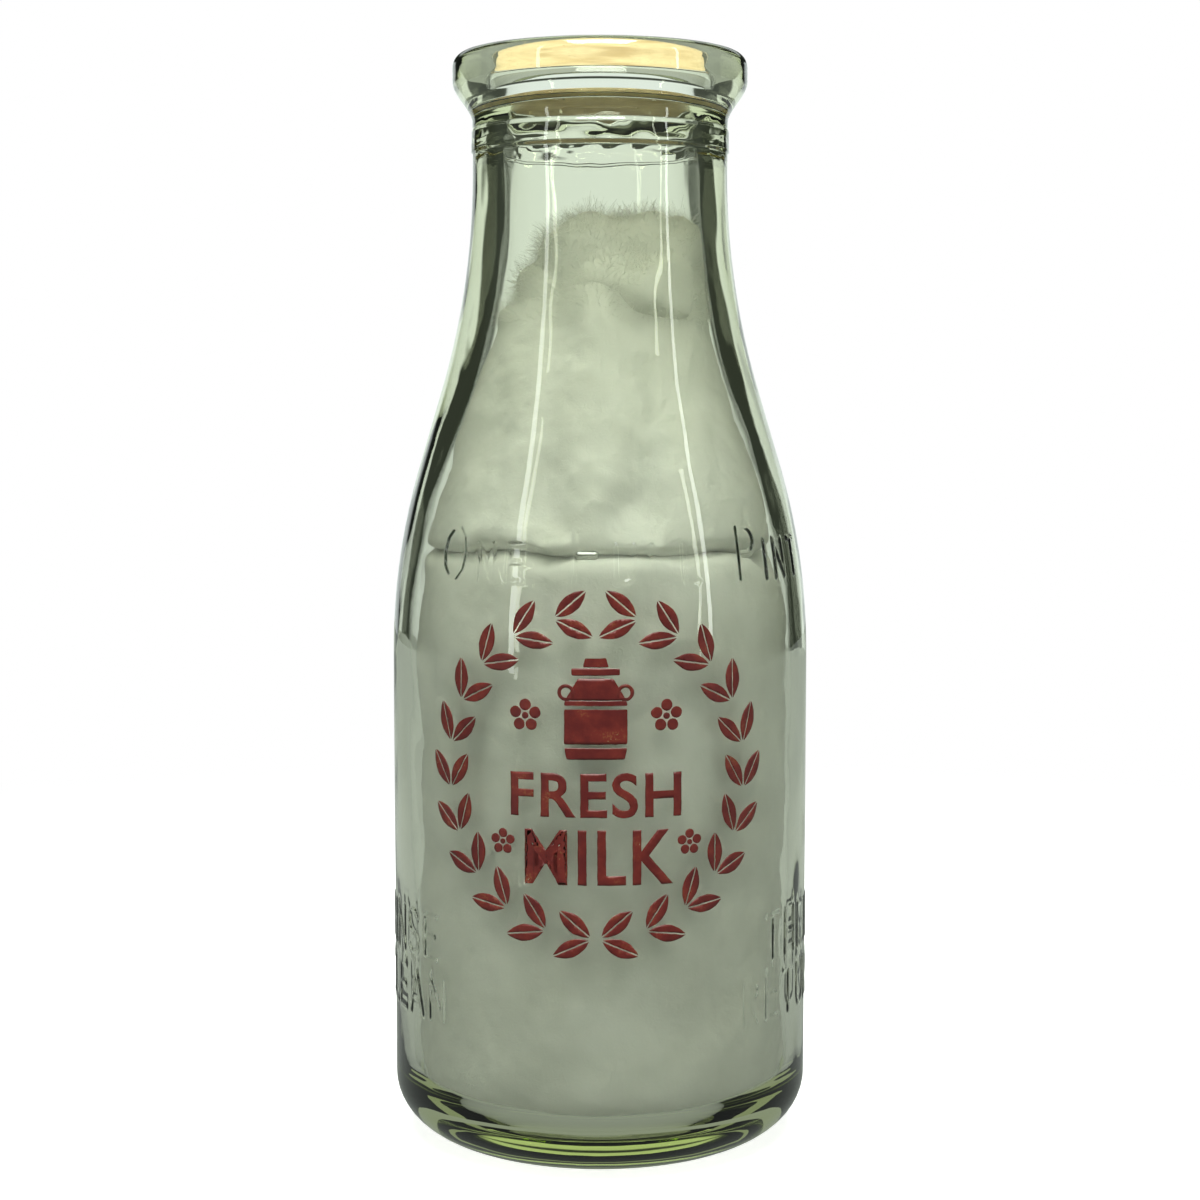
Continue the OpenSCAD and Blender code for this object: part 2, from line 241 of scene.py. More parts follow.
bottle_h = glass_high.z
body_r = 39.5 * mm
neck_r = 24 * mm
bead_r = lip_mount["dims"]["r_mm"] * mm
bore_r = 18.4 * mm
throat_r = 17.7 * mm
body_wall = 3.4 * mm
heel_w, heel_h = 14.4 * mm, 11.8 * mm
bearing_w = 3.6 * mm
push_up = 2.6 * mm
floor_z = push_up + 5 * mm
shoulder_z = 92.5 * mm
bead_z = bottle_h - 12.8 * mm
neck_z = bead_z - 9.2 * mm
collar_top = bead_z - 1.4 * mm
collar_low = collar_top - 4.3 * mm
collar_step = 0.25 * mm
lip_round = 2.6 * mm
rim_round = 1.2 * mm
recess_wall = 2.6 * mm
ledge_round = 0.25 * mm
throat_edge = 0.4 * mm
throat_len = 2 * mm
throat_ease = 8 * mm
band_low = lip_mount["pos_m"][2] - lip_mount["dims"]["length_mm"] / 2 * mm
seat_z = disc_low.z
card_t = disc_high.z - disc_low.z
recess_r = disc_high.x + 0.35 * mm


def oval(centre, rx, rz, start, stop, steps):
    """Points (r, z) along part of an ellipse, by angle in degrees."""
    turns = [math.radians(start + (stop - start) * i / steps) for i in range(steps + 1)]
    return [(centre[0] + rx * math.cos(t), centre[1] + rz * math.sin(t)) for t in turns]


# Both arc radii together, as a share of what would leave no straight between
# them, and the lower arc's share of that.
ARCS_SHARE = 0.975
ARC_LOW_SHARE = 0.474


def taper(r_low, z_low, r_high, z_high, steps):
    """An ogee: a convex arc off the body, a straight stretch and a concave arc into the neck."""
    drop, rise = r_low - r_high, z_high - z_low
    arcs = ARCS_SHARE * (drop ** 2 + rise ** 2) / (2 * drop)
    arc_low = ARC_LOW_SHARE * arcs
    arc_high = arcs - arc_low
    low = (r_low - arc_low, z_low)
    high = (r_high + arc_high, z_high)
    across, up = high[0] - low[0], high[1] - low[1]
    lean = math.degrees(math.atan2(up, across) - math.acos(arcs / math.hypot(across, up)))
    convex = oval(low, arc_low, arc_low, 0, lean, steps)
    concave = oval(high, arc_high, arc_high, 180 + lean, 180, steps)
    (r0, z0), (r1, z1) = convex[-1], concave[0]
    straight = [(r0 + (r1 - r0) * k / 6, z0 + (z1 - z0) * k / 6) for k in range(1, 6)]
    return convex + straight + concave


def rows(r, low, high, count):
    """Evenly spaced points up a straight wall, without its two ends."""
    return [(r, low + (high - low) * k / count) for k in range(1, count)]


DOME_STEPS = 12
BEAD_STEPS = 14
WALL_ROWS = 34

bearing_r = body_r - heel_w
dome_r = bearing_r - bearing_w
base = [(dome_r * k / DOME_STEPS, push_up * (1 - (k / DOME_STEPS) ** 2)) for k in range(DOME_STEPS + 1)]
heel = oval((bearing_r, heel_h), heel_w, heel_h, -90, 0, 14)
bead_rise = band_low - bead_z
outside = (
    base + heel + rows(body_r, heel_h, shoulder_z, WALL_ROWS)
    + taper(body_r, shoulder_z, neck_r, neck_z, 24)
    + [(neck_r, collar_low), (neck_r + collar_step, collar_low + collar_step),
       (neck_r + collar_step, collar_top - collar_step), (neck_r, collar_top)]
    + [(neck_r + (bead_r - neck_r) * t * t * (3 - 2 * t), bead_z + bead_rise * t)
       for t in (k / BEAD_STEPS for k in range(1, BEAD_STEPS + 1))]
    + oval((bead_r - lip_round, bottle_h - lip_round), lip_round, lip_round, 0, 90, 8)
)
rim_r = bead_r - lip_round - 0.3 * mm
mouth = (
    oval((rim_r, bottle_h - rim_round), -rim_round, rim_round, 90, 0, 6)
    + [(recess_r, seat_z + recess_wall), (recess_r, seat_z + ledge_round)]
    + [(recess_r - ledge_round, seat_z), (throat_r + throat_edge, seat_z)]
    + [(throat_r, seat_z - throat_edge), (throat_r, seat_z - throat_len)]
    + [(bore_r, seat_z - (throat_len + throat_ease))]
)
inner_r = body_r - body_wall
inner_top = shoulder_z - 1 * mm
corner_w, corner_h = 11 * mm, 8 * mm
hollow = (
    taper(inner_r, inner_top, bore_r, neck_z, 16)[::-1]
    + rows(inner_r, inner_top, floor_z + corner_h, WALL_ROWS)
    + oval((inner_r - corner_w, floor_z + corner_h), corner_w, corner_h, 0, -90, 10)
    + [((inner_r - corner_w) * k / 6, floor_z) for k in range(5, -1, -1)]
)


def radius_at(line, z):
    """Radius of an outline at height z."""
    for (r0, z0), (r1, z1) in zip(line, line[1:]):
        if min(z0, z1) <= z <= max(z0, z1) and abs(z1 - z0) > 1e-7:
            return r0 + (r1 - r0) * (z - z0) / (z1 - z0)
    return line[0][0] if z < line[0][1] else line[-1][0]


def spun(outline, steps):
    """A closed skin of revolution from (r, z) points that start and end on the axis."""
    bm = bmesh.new()
    verts = [bm.verts.new((r, 0, z)) for r, z in outline]
    edges = [bm.edges.new(pair) for pair in zip(verts, verts[1:])]
    bmesh.ops.spin(bm, geom=verts + edges, cent=(0, 0, 0), axis=(0, 0, 1), angle=2 * math.pi,
                   steps=steps, use_merge=True)
    bmesh.ops.remove_doubles(bm, verts=bm.verts, dist=1e-6)
    bmesh.ops.recalc_face_normals(bm, faces=bm.faces)
    return bm


def close_set(line, most):
    """Splits the long steps of an outline, so that its corners stay crisp when shaded smooth."""
    points = [line[0]]
    for (r0, z0), (r1, z1) in zip(line, line[1:]):
        cuts = max(1, math.ceil(math.hypot(r1 - r0, z1 - z0) / most - 1e-6))
        points += [(r0 + (r1 - r0) * k / cuts, z0 + (z1 - z0) * k / cuts)
                   for k in range(1, cuts + 1)]
    return points


SPIN_STEPS = 180
CLOSE = 0.4 * mm
neck_start = next(i for i, (r, z) in enumerate(outside) if z > neck_z - 0.01 * mm)
neck_and_lip = close_set(outside[neck_start:] + mouth, CLOSE)
glass = spun(outside[:neck_start] + neck_and_lip + hollow, SPIN_STEPS)

# Letters are single strokes in a box one unit high, given as chains of points.


def bow(x, y, rx, ry, start, stop):
    """The round part of a letter."""
    return oval((x, y), rx, ry, start, stop, 10)


STROKES = {
    "A": [[(0, 0), (0.3, 1), (0.6, 0)], [(0.11, 0.36), (0.49, 0.36)]],
    "C": [bow(0.28, 0.5, 0.28, 0.5, 50, 310)],
    "E": [[(0.46, 1), (0, 1), (0, 0), (0.46, 0)], [(0, 0.52), (0.4, 0.52)]],
    "F": [[(0.46, 1), (0, 1), (0, 0)], [(0, 0.52), (0.4, 0.52)]],
    "H": [[(0, 0), (0, 1)], [(0.5, 0), (0.5, 1)], [(0, 0.5), (0.5, 0.5)]],
    "I": [[(0, 0), (0, 1)]],
    "L": [[(0, 1), (0, 0), (0.44, 0)]],
    "N": [[(0, 0), (0, 1), (0.52, 0), (0.52, 1)]],
    "O": [bow(0.3, 0.5, 0.3, 0.5, 0, 360)],
    "P": [[(0, 0), (0, 1), (0.22, 1)] + bow(0.22, 0.74, 0.24, 0.26, 90, -90) + [(0, 0.48)]],
    "R": [[(0, 0), (0, 1), (0.22, 1)] + bow(0.22, 0.74, 0.24, 0.26, 90, -90) + [(0, 0.48)],
          [(0.2, 0.48), (0.48, 0)]],
    "S": [bow(0.25, 0.74, 0.25, 0.26, 30, 270) + bow(0.25, 0.25, 0.25, 0.25, 90, -150)],
    "T": [[(0, 1), (0.54, 1)], [(0.27, 1), (0.27, 0)]],
    "U": [[(0, 1)] + bow(0.26, 0.26, 0.26, 0.26, 180, 360) + [(0.52, 1)]],
}
WORD_GAP = 0.35


def laid_out(text, big, small, space):
    """Places each letter of a line that is centred on 0: (chains of points, left, right)."""
    placed, x = [], 0
    for i, letter in enumerate(text):
        cap = big if i == 0 or text[i - 1] == " " else small
        if letter == " ":
            x += WORD_GAP * big + space
            continue
        chains = [[(x + px * cap, py * cap) for px, py in chain] for chain in STROKES[letter]]
        right = max(px for chain in chains for px, _ in chain)
        placed.append((chains, x, right))
        x = right + space
    middle = (x - space) / 2
    return [([[(px - middle, py) for px, py in c] for c in chains], left - middle, right - middle)
            for chains, left, right in placed]


def from_stroke(x, y, a, b):
    """Distance from a point to the stroke a-b."""
    dx, dy = b[0] - a[0], b[1] - a[1]
    share = ((x - a[0]) * dx + (y - a[1]) * dy) / (dx * dx + dy * dy or 1)
    share = min(max(share, 0), 1)
    return math.hypot(x - a[0] - share * dx, y - a[1] - share * dy)


def smooth(value, low, high):
    """0 at low, 1 at high and smooth between."""
    share = min(max((value - low) / (high - low), 0), 1)
    return share * share * (3 - 2 * share)


MARGIN = 1.5 * mm
LETTER_CUTS = 5
STROKE_CREST, STROKE_FOOT = 0.55, 1.35
wall_line = [(body_r, heel_h)] + taper(body_r, shoulder_z, neck_r, neck_z, 150)


def raise_line(bm, text, turn, foot, big, small, space, relief, half_stroke):
    """Refines the skin under a line of letters and pushes the letters out of it."""
    letters = laid_out(text, big, small, space)
    left, right = letters[0][1] - MARGIN, letters[-1][2] + MARGIN
    low, high = foot - MARGIN, foot + big + MARGIN

    def round_body(v):
        away = math.atan2(v.co.x, -v.co.y) - math.radians(turn)
        away = (away + math.pi) % (2 * math.pi) - math.pi
        return away * body_r

    def inside(v):
        if not low <= v.co.z <= high or not left <= round_body(v) <= right:
            return False
        return abs(v.co.xy.length - radius_at(wall_line, v.co.z)) < MARGIN

    patch = [f for f in bm.faces if all(inside(v) for v in f.verts)]
    edges = list({e for f in patch for e in f.edges})
    bmesh.ops.subdivide_edges(bm, edges=edges, cuts=LETTER_CUTS, use_grid_fill=True)
    for v in bm.verts:
        if not inside(v):
            continue
        wall = radius_at(wall_line, v.co.z)
        x, y = round_body(v), v.co.z - foot
        near = body_r
        for chains, a, b in letters:
            if a - 2 * mm < x < b + 2 * mm:
                for chain in chains:
                    for p, q in zip(chain, chain[1:]):
                        near = min(near, from_stroke(x, y, p, q))
        wall += relief * (1 - smooth(near, half_stroke * STROKE_CREST, half_stroke * STROKE_FOOT))
        v.co.xy = v.co.xy.normalized() * wall


raise_line(glass, "ONE FULL PINT", turn=12, foot=shoulder_z + 16.5 * mm, big=9.3 * mm, small=6.5 * mm,
           space=3.3 * mm, relief=0.27 * mm, half_stroke=0.42 * mm)
BASE_WORDS = {-68: ("RINSE", "CLEAN"), 68: ("THEN", "RETURN")}
BASE_FEET = (38.5 * mm, 27.5 * mm)
for word_turn, words in BASE_WORDS.items():
    for word, foot in zip(words, BASE_FEET):
        raise_line(glass, word, turn=word_turn, foot=foot, big=8 * mm, small=8 * mm,
                   space=2.4 * mm, relief=0.17 * mm, half_stroke=0.45 * mm)

# Hand-run glass is never even: the hollow wanders in its wall and ripples, and
# the collar, where neck mould and body mould meet, is a little ragged.
WANDER = 0.28 * mm
FINE_WANDER = 0.07 * mm
RIPPLE = 0.05 * mm
COLLAR_RIPPLE = 0.11 * mm
for v in glass.verts:
    r = v.co.xy.length
    if r < 1e-6:
        continue
    around = math.atan2(v.co.x, -v.co.y)
    outward = v.co.xy / r
    spot = Vector((math.cos(around), math.sin(around), v.co.z / (60 * mm)))
    wall = radius_at(wall_line, v.co.z)
    in_hollow = floor_z - 1e-6 < v.co.z < seat_z - 8 * mm and r < wall - 1.5 * mm
    if in_hollow:
        wander = WANDER * noise.noise(spot * 1.6) + FINE_WANDER * noise.noise(spot * 6)
        v.co.xy += outward * wander
    elif v.co.z > heel_h:
        ripple = RIPPLE * noise.noise(spot * 3 + Vector((7, 0, 0)))
        if collar_low - 1 * mm < v.co.z < collar_top + 1 * mm and r > 23 * mm:
            ripple += COLLAR_RIPPLE * noise.noise(Vector((around * 9, 3, v.co.z / (3 * mm))))
        v.co.xy += outward * ripple


def finished(bm, name, material, body, node):
    """Turns a bmesh into a piece of the model that stands for a CAD node."""
    mesh = bpy.data.meshes.new(name)
    bm.to_mesh(mesh)
    bm.free()
    for face in mesh.polygons:
        face.use_smooth = True
    mesh.materials.append(material)
    piece = bpy.data.objects.new(name, mesh)
    scene.collection.objects.link(piece)
    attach(piece, body)
    if node:
        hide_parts(node)
    return piece


def surface(tree, inputs):
    """The one Principled shader of a material, joined to its output."""
    shader = Wire.node(tree, "ShaderNodeBsdfPrincipled", {}, inputs)
    out = tree.nodes.new("ShaderNodeOutputMaterial")
    tree.links.new(shader.socket, out.inputs["Surface"])
    return out


green_glass, tree = new_material("pale_green_glass")
place = Wire.node(tree, "ShaderNodeTexCoord", output="Object")
ripple = Wire.node(tree, "ShaderNodeTexNoise", {}, {"Vector": place, "Scale": 90, "Detail": 2})
dimple = Wire.node(tree, "ShaderNodeBump", {}, {"Strength": 0.06, "Distance": 0.0006, "Height": ripple})
out = surface(tree, {
    "Base Color": WHITE, "Roughness": 0.0, "IOR": 1.52, "Transmission Weight": 1.0, "Normal": dimple,
})
tint = Wire.node(tree, "ShaderNodeVolumeAbsorption", {}, {"Color": (0.69, 0.76, 0.27, 1), "Density": 33})
tree.links.new(tint.socket, out.inputs["Volume"])
finished(glass, "bottle_glass", green_glass, "bottle", "glass_bottle")

# ---- Red print --------------------------------------------------------------
# Ceramic enamel, screened on in brick red and fired. It lies about a tenth of a
# millimetre thick on the glass, with nibbled edges and pinholes from washing.

PRINT_R = 31.75 * mm
PRINT_Z = 74.7 * mm
PRINT_TURN = -1.1
ENAMEL_T = 0.12 * mm
ENAMEL_FOOT = 0.02 * mm
FIRST_SLICE, SLICE = 0.45 * mm, 0.7 * mm
WEAR, WEAR_SIZE = 0.075 * mm, 0.9 * mm


def fired(flat, name, node):
    """Slices a flat shape, wears its edge, gives it thickness and wraps it round the body."""
    bmesh.ops.triangulate(flat, faces=flat.faces[:])
    xs = [v.co.x for v in flat.verts]
    ys = [v.co.y for v in flat.verts]
    for axis, low, high in ((0, min(xs), max(xs)), (1, min(ys), max(ys))):
        cut = low + FIRST_SLICE
        while cut < high:
            point = [0, 0, 0]
            point[axis] = cut
            along = [0, 0, 0]
            along[axis] = 1
            bmesh.ops.bisect_plane(flat, geom=flat.verts[:] + flat.edges[:] + flat.faces[:],
                                   dist=1e-6, plane_co=point, plane_no=along)
            cut += SLICE
    for v in flat.verts:
        worn = noise.noise_vector(v.co / WEAR_SIZE) * WEAR
        v.co.xy += worn.xy
    for f in flat.faces:
        if f.normal.z < 0:
            f.normal_flip()
    grown = bmesh.ops.extrude_face_region(flat, geom=flat.faces[:])
    for v in grown["geom"]:
        if isinstance(v, bmesh.types.BMVert):
            v.co.z += ENAMEL_T - ENAMEL_FOOT
    bmesh.ops.recalc_face_normals(flat, faces=flat.faces)
    for v in flat.verts:
        around = math.radians(PRINT_TURN) + v.co.x / body_r
        out_r = body_r + ENAMEL_FOOT + v.co.z
        v.co = (out_r * math.sin(around), -out_r * math.cos(around), PRINT_Z + v.co.y)
    finished(flat, name, red_enamel, "bottle", node)


red_enamel, tree = new_material("red_enamel")
place = Wire.node(tree, "ShaderNodeTexCoord", output="Object")
cloud = Wire.node(tree, "ShaderNodeTexNoise", {}, {
    "Vector": place, "Scale": 260, "Detail": 5, "Roughness": 0.6,
})
speck = Wire.node(tree, "ShaderNodeTexNoise", {}, {
    "Vector": place, "Scale": 2400, "Detail": 3, "Roughness": 0.7,
})
BRICK_DARK = (0.105, 0.006, 0.006, 1)
BRICK_RED = (0.17, 0.016, 0.011, 1)
WORN_RED = (0.25, 0.075, 0.03, 1)
brick = cloud.step(0.35, 0.65).blend(BRICK_DARK, BRICK_RED)
thin = (cloud * 0.5 + speck * 0.5).step(0.57, 0.64)
coat = thin.blend(brick, WORN_RED)
pits = 1 - (cloud * 0.35 + speck * 0.65).step(0.63, 0.66)
grain = Wire.node(tree, "ShaderNodeBump", {}, {"Strength": 0.3, "Distance": 0.0001, "Height": speck})
surface(tree, {
    "Base Color": coat, "Roughness": 0.32 + speck * 0.2, "Alpha": pits, "Normal": grain, "IOR": 1.5,
})

# Wreath: pairs of leaves that climb both sides from the foot, each leaf two
# halves with a bare midrib between them.
LEAF_PAIRS = 22
LEAF_L, LEAF_W = 7 * mm, 3.1 * mm
LEAF_SWING = 32
LEAF_INSET, LEAF_SPREAD = 0.42, 0.72
LEAF_ROUND = 0.75
MIDRIB_HALF = 0.13 * mm
THINNEST = 0.01 * mm
wreath = bmesh.new()
for pair in range(LEAF_PAIRS):
    turn_at = (pair + 0.5) * 360 / LEAF_PAIRS
    lead = -1 if turn_at < 180 else 1
    for side in (-1, 1):
        reach = PRINT_R - LEAF_L * LEAF_INSET + side * LEAF_W * LEAF_SPREAD
        from_top = math.radians(turn_at)
        centre = Vector((reach * math.sin(from_top), reach * math.cos(from_top), 0))
        swing = math.radians(-turn_at + lead * side * LEAF_SWING)
        for half in (-1, 1):
            blade = bmesh.ops.create_grid(wreath, x_segments=10, y_segments=2, size=0.5)["verts"]
            for v in blade:
                along, across = v.co.x, v.co.y + 0.5
                width = LEAF_W / 2 * math.sin(math.pi * (along + 0.5)) ** LEAF_ROUND
                v.co.x = along * LEAF_L
                v.co.y = half * (MIDRIB_HALF + across * max(width - MIDRIB_HALF, THINNEST))
            bmesh.ops.rotate(wreath, verts=blade, matrix=Matrix.Rotation(swing, 3, "Z"))
            bmesh.ops.translate(wreath, verts=blade, vec=centre)
fired(wreath, "wreath_enamel", "print_wreath")


def rounded_sheet(bm, outline, rounding):
    """A flat face with rounded corners."""
    verts = [bm.verts.new((x, y, 0)) for x, y in outline]
    bm.faces.new(verts)
    bmesh.ops.bevel(bm, geom=verts, offset=rounding, segments=3, profile=0.5, affect="VERTICES",
                    material=-1)


# Churn: the can of a milk float, with bare lines for its hoops and lid.
CHURN_H = 18 * mm
CHURN_ROUND = 0.25 * mm
churn_w = CHURN_H * 0.62
throat_w = churn_w * 0.56
churn_foot = PRINT_R * 0.1
handle_r = CHURN_H * 0.085
handle_x = churn_w * 0.47
handle_y = churn_foot + CHURN_H * 0.66
churn = bmesh.new()
for foot, head, half_low, half_high in (
    (0.0, 0.115, 0.46 * churn_w, 0.5 * churn_w), (0.15, 0.495, 0.5 * churn_w, 0.5 * churn_w),
    (0.53, 0.58, 0.5 * churn_w, 0.49 * churn_w), (0.585, 0.8, 0.485 * churn_w, throat_w / 2),
    (0.83, 0.9, throat_w * 0.68, throat_w * 0.68), (0.91, 1.0, throat_w * 0.36, throat_w * 0.3),
):
    low, high = churn_foot + foot * CHURN_H, churn_foot + head * CHURN_H
    band = [(-half_low, low), (half_low, low), (half_high, high), (-half_high, high)]
    rounded_sheet(churn, band, CHURN_ROUND)
for side in (-1, 1):
    handle = bmesh.ops.create_circle(churn, segments=24, radius=handle_r)["verts"]
    ring = list({e for v in handle for e in v.link_edges})
    rim = bmesh.ops.extrude_edge_only(churn, edges=ring)["geom"]
    inner = [g for g in rim if isinstance(g, bmesh.types.BMVert)]
    bmesh.ops.scale(churn, verts=inner, vec=(0.58, 0.58, 1))
    bmesh.ops.translate(churn, verts=handle + inner, vec=(side * handle_x, handle_y, 0))
fired(churn, "churn_enamel", "print_churn")

# Blossoms: five round petals about a dot, two beside the churn and two below.
PETAL_OUT, PETAL_R, DOT_R = 0.62, 0.34, 0.2
blossoms = bmesh.new()
for x, y, size in ((0.4, 0.34, 3.1), (0.54, -0.38, 2.5)):
    for side in (-1, 1):
        centre = Vector((side * x * PRINT_R, y * PRINT_R, 0))
        for petal in range(5):
            swing = math.radians(72 * petal)
            spot = centre + size * mm * PETAL_OUT * Vector((-math.sin(swing), math.cos(swing), 0))
            disc = bmesh.ops.create_circle(blossoms, cap_ends=True, segments=14, radius=size * mm * PETAL_R)
            bmesh.ops.translate(blossoms, verts=disc["verts"], vec=spot)
        dot = bmesh.ops.create_circle(blossoms, cap_ends=True, segments=12, radius=size * mm * DOT_R)
        bmesh.ops.translate(blossoms, verts=dot["verts"], vec=centre)
fired(blossoms, "blossom_enamel", "print_blossoms")

# Words: plain block capitals, drawn heavy so that they still read when worn.
CAP_SHARE = 0.73
HEAVIER = 0.025


def lettered(text, cap, half_width, y, name, node):
    """Draws one word of the print, with capitals cap high, to the width given."""
    letters = bpy.data.curves.new(name, "FONT")
    letters.body = text
    letters.align_x = "CENTER"
    letters.size = cap / CAP_SHARE
    letters.offset = cap * HEAVIER
    letters.space_character = 1.1
    letters.resolution_u = 6
    drawn = bpy.data.objects.new(name, letters)
    scene.collection.objects.link(drawn)
    bpy.context.view_layer.update()
    flat = bmesh.new()
    flat.from_mesh(drawn.evaluated_get(bpy.context.evaluated_depsgraph_get()).to_mesh())
    bpy.data.objects.remove(drawn)
    bpy.data.curves.remove(letters)
    bmesh.ops.remove_doubles(flat, verts=flat.verts, dist=1e-7)
    reach = max(abs(v.co.x) for v in flat.verts)
    bmesh.ops.scale(flat, verts=flat.verts, vec=(half_width / reach, 1, 1))
    bmesh.ops.translate(flat, verts=flat.verts, vec=(0, y, 0))
    fired(flat, name + "_enamel", node)


lettered("FRESH", 8 * mm, 15.5 * mm, -0.22 * PRINT_R, "upper_word", "print_upper_word")
lettered("MILK", 10 * mm, 14 * mm, -0.6 * PRINT_R, "lower_word", "print_lower_word")

# ---- Card disc and its flap --------------------------------------------------
# A disc punched from tan pulp card and dipped in wax, pressed down on to the cap
# seat. A half-round flap is slit in it, which a finger pushes down.

FLAP_R = 7 * mm
FLAP_ACROSS = 0.9999 * FLAP_R
SLIT = 0.3 * mm
LAID = -0.03 * mm
DISC_EDGE = 0.2 * mm
FLAP_EDGE = 0.15 * mm
RIM_ANGLE = 1.2

waxed_card, tree = new_material("waxed_card")
place = Wire.node(tree, "ShaderNodeTexCoord", output="Object")
pulp = Wire.node(tree, "ShaderNodeTexNoise", {}, {
    "Vector": place, "Scale": 420, "Detail": 6, "Roughness": 0.65,
})
fleck = Wire.node(tree, "ShaderNodeTexNoise", {}, {"Vector": place, "Scale": 1900, "Detail": 2})
stain = Wire.node(tree, "ShaderNodeTexNoise", {}, {"Vector": place, "Scale": 70, "Detail": 3})
BOARD_DARK = (0.72, 0.54, 0.27, 1)
BOARD_LIGHT = (0.86, 0.68, 0.38, 1)
STAIN_BROWN = (0.56, 0.38, 0.16, 1)
FLECK_BROWN = (0.2, 0.13, 0.06, 1)
board = pulp.step(0.3, 0.7).blend(BOARD_DARK, BOARD_LIGHT)
aged = stain.step(0.45, 0.7).blend(board, STAIN_BROWN)
card_colour = (fleck.step(0.66, 0.7) * 0.6).blend(aged, FLECK_BROWN)
fibres = Wire.node(tree, "ShaderNodeBump", {}, {"Strength": 0.5, "Distance": 0.0002, "Height": pulp})
surface(tree, {"Base Color": card_colour, "Roughness": 0.45 + pulp * 0.2, "Normal": fibres, "IOR": 1.45})

card = bmesh.new()
bmesh.ops.create_circle(card, segments=120, radius=disc_high.x)
outer_edges = card.edges[:]
slit_r = FLAP_R + SLIT
slit_line = [(-slit_r, SLIT)] + oval((0, 0), slit_r, slit_r, 180, 360, 40) + [(slit_r, SLIT)]
hole = [card.verts.new((x, y, 0)) for x, y in slit_line]
hole_edges = [card.edges.new((a, b)) for a, b in zip(hole, hole[1:] + hole[:1])]
bmesh.ops.triangle_fill(card, use_beauty=True, use_dissolve=False, edges=outer_edges + hole_edges)
for f in card.faces:
    if f.normal.z < 0:
        f.normal_flip()


def thickened(bm, low, thick, soft):
    """Gives a flat sheet its thickness and softens its cut edges."""
    grown = bmesh.ops.extrude_face_region(bm, geom=bm.faces[:])
    lifted = [g for g in grown["geom"] if isinstance(g, bmesh.types.BMVert)]
    bmesh.ops.translate(bm, verts=lifted, vec=(0, 0, thick))
    bmesh.ops.recalc_face_normals(bm, faces=bm.faces)
    rims = [e for e in bm.edges if len(e.link_faces) == 2 and e.calc_face_angle() > RIM_ANGLE]
    bmesh.ops.bevel(bm, geom=rims, offset=soft, segments=3, profile=0.5, affect="EDGES", material=-1)
    bmesh.ops.translate(bm, verts=bm.verts, vec=(0, 0, low))


thickened(card, seat_z + LAID, card_t, DISC_EDGE)
finished(card, "disc_card", waxed_card, "disc", "card_disc")

tongue = bmesh.new()
tongue_line = oval((0, 0), FLAP_ACROSS, FLAP_R, 180, 360, 40)
tongue.faces.new([tongue.verts.new((x, y, 0)) for x, y in tongue_line])
thickened(tongue, seat_z + LAID, card_t, FLAP_EDGE)
finished(tongue, "flap_card", waxed_card, "flap", "push_flap")

# ---- Cotton wadding ----------------------------------------------------------
# Wads of white cotton wool, pushed in by hand until they fill the bottle. They
# are pressed smooth where they meet the glass, with soft folds between.

cotton, tree = new_material("cotton_wool")
place = Wire.node(tree, "ShaderNodeTexCoord", output="Object")
tuftiness = Wire.node(tree, "ShaderNodeTexNoise", {}, {
    "Vector": place, "Scale": 60, "Detail": 6, "Roughness": 0.6,
})
hairs = Wire.node(tree, "ShaderNodeTexNoise", {}, {
    "Vector": place, "Scale": 900, "Detail": 4, "Distortion": 1.5,
})
COTTON_CREAM = (0.83, 0.83, 0.78, 1)
COTTON_WHITE = (0.93, 0.93, 0.89, 1)
fibre_shade = tuftiness.step(0.3, 0.7).blend(COTTON_CREAM, COTTON_WHITE)
fluff = Wire.node(tree, "ShaderNodeBump", {}, {
    "Strength": 0.35, "Distance": 0.0006, "Height": tuftiness * 0.7 + hairs * 0.3,
})
surface(tree, {"Base Color": fibre_shade, "Roughness": 0.95, "Sheen Weight": 0.35, "Sheen Roughness": 0.5,
               "Normal": fluff, "Specular IOR Level": 0.1})

WALL_GAP = 0.45 * mm
CLOTH_PRESSURE = 4
CLOTH_FRAMES = 20
SKIN_ROUGH = 0.30 * mm
TUFT_SIZE = 5 * mm
bore_line = hollow[::-1]


def held_in(co, gap=WALL_GAP):
    """Keeps a point of the wadding off the glass."""
    r = co.xy.length
    most = radius_at(bore_line, co.z) - gap
    if r > most:
        co.xy *= most / r
    co.z = max(co.z, floor_z + gap)


def baked(piece, modifier):
    """Takes a modifier's result as the piece's own mesh."""
    made = bpy.data.meshes.new_from_object(piece.evaluated_get(bpy.context.evaluated_depsgraph_get()))
    piece.modifiers.remove(modifier)
    piece.data = made


